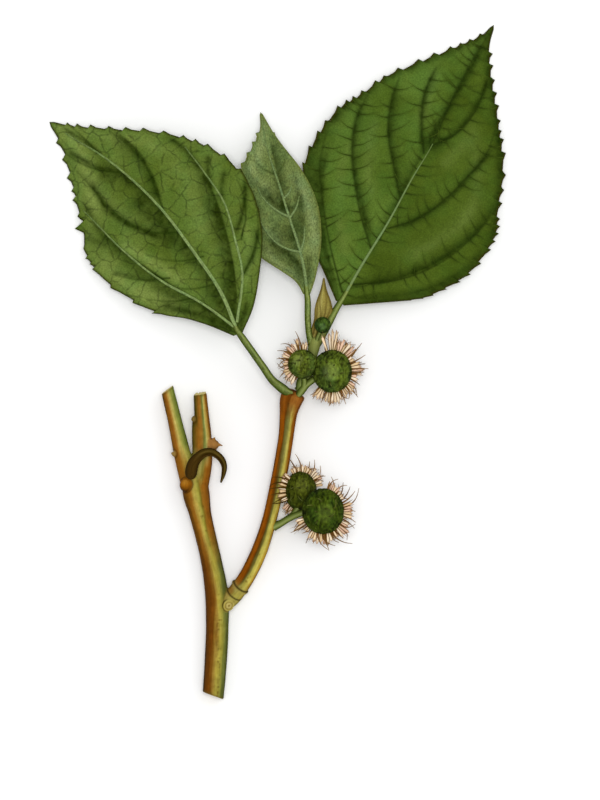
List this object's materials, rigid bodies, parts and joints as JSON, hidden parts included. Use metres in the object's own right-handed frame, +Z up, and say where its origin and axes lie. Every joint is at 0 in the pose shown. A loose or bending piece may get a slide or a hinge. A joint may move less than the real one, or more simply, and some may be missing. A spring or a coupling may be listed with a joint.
{
  "type": "paper mulberry sprig",
  "caption": "Cut woody mulberry branch lying flat, with pruned stubs, a side shoot, toothed leaves and ball-shaped flower heads fringed with thread-like styles.",
  "frame": {"origin": "on the resting surface, under the middle of the sprig's bounding box", "axes": "+Y along the sprig from the cut end of the stem to the leaf tips, +X to the right seen from above, +Z up"},
  "size_m": [0.183, 0.2708, 0.0302],
  "materials": {
    "bark": "matt bark with lengthwise streaks",
    "green_stem": "satin",
    "leaf": "satin, rough with fine hairs",
    "leaf_underside": "matt, hairy",
    "leaf_dark": "satin, rough with fine hairs",
    "stipule": "dry, matt",
    "withered": "dry, matt",
    "flower_head": "matt"
  },
  "bodies": {
    "root": {"woody_branch": "bark", "green_shoot": "green_stem", "left_leaf": "leaf", "middle_leaf": "leaf_underside", "right_leaf": "leaf_dark", "stipule": "stipule", "upper_peduncle": "green_stem", "lower_peduncle": "green_stem", "withered_stalk": "withered", "fruit_head_upper_front": "flower_head", "fruit_head_upper_rear": "flower_head", "fruit_head_lower_front": "flower_head", "fruit_head_lower_rear": "flower_head", "bud_head": "flower_head"}
  },
  "joints": []
}
